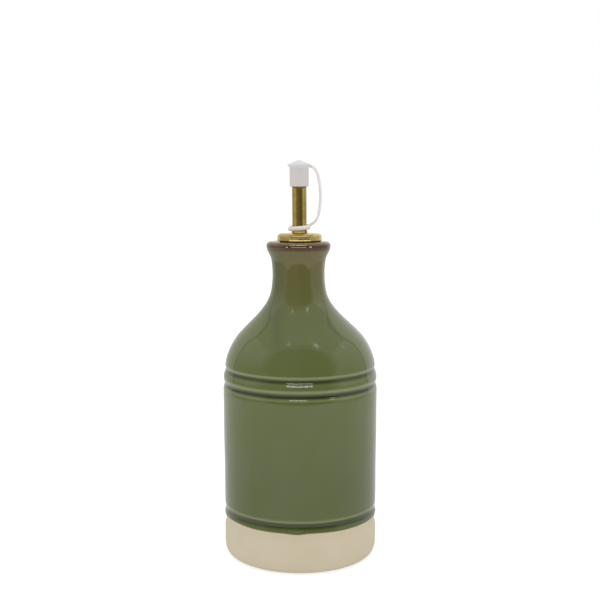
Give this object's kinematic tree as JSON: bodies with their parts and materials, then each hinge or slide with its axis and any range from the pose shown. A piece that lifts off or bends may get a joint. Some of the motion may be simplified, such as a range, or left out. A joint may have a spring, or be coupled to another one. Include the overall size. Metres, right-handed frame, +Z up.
{
  "type": "oil bottle with pourer",
  "caption": "Green glazed stoneware oil bottle with a bare clay foot, turned rings, a brass spout on a brass disc and a white tethered cap.",
  "frame": {"origin": "centre of the foot's underside, on the surface that the bottle stands on", "axes": "+Z up the bottle, +X towards the side that the cap's tether hangs on, -Y towards the viewer"},
  "size_m": [0.0862, 0.0862, 0.221],
  "materials": {
    "glazed_stoneware": "glossy olive green glaze over pale clay, left bare for the lowest 23 mm",
    "black_rubber": "matt black",
    "brass": "polished, slightly aged",
    "white_plastic": "soft milky white"
  },
  "bodies": {
    "root": {"stoneware_bottle": "glazed_stoneware", "rubber_seal": "black_rubber", "brass_disc": "brass", "brass_spout": "brass", "tethered_cap": "white_plastic"}
  },
  "joints": []
}
